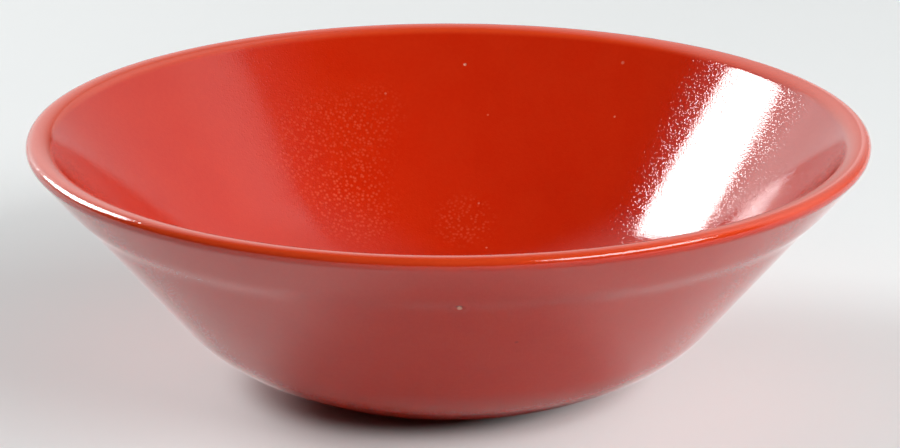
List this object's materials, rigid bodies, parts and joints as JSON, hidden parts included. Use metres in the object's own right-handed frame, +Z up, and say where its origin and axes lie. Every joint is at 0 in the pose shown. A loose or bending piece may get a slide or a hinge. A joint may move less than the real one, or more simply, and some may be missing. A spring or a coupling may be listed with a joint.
{
  "type": "cereal bowl",
  "caption": "Round flared cereal bowl in red-orange glazed earthenware, with a thick rounded lip, a soft collar under it and a low foot ring with a dry edge.",
  "frame": {"origin": "middle of the face that the foot ring stands on", "axes": "+Z up, out of the bowl's mouth, along its axis of symmetry; X and Y are level and interchangeable"},
  "size_m": [0.16, 0.16, 0.0499],
  "materials": {
    "fired_clay": "dry buff fired earthenware, fine grain",
    "red_glaze": "glossy red-orange glaze with a faint orange peel",
    "well_glaze": "glossy red-orange glaze, thinner and a little duller"
  },
  "bodies": {
    "root": {"clay_body": "fired_clay", "glaze_coat": "red_glaze", "foot_well_glaze": "well_glaze"}
  },
  "joints": []
}
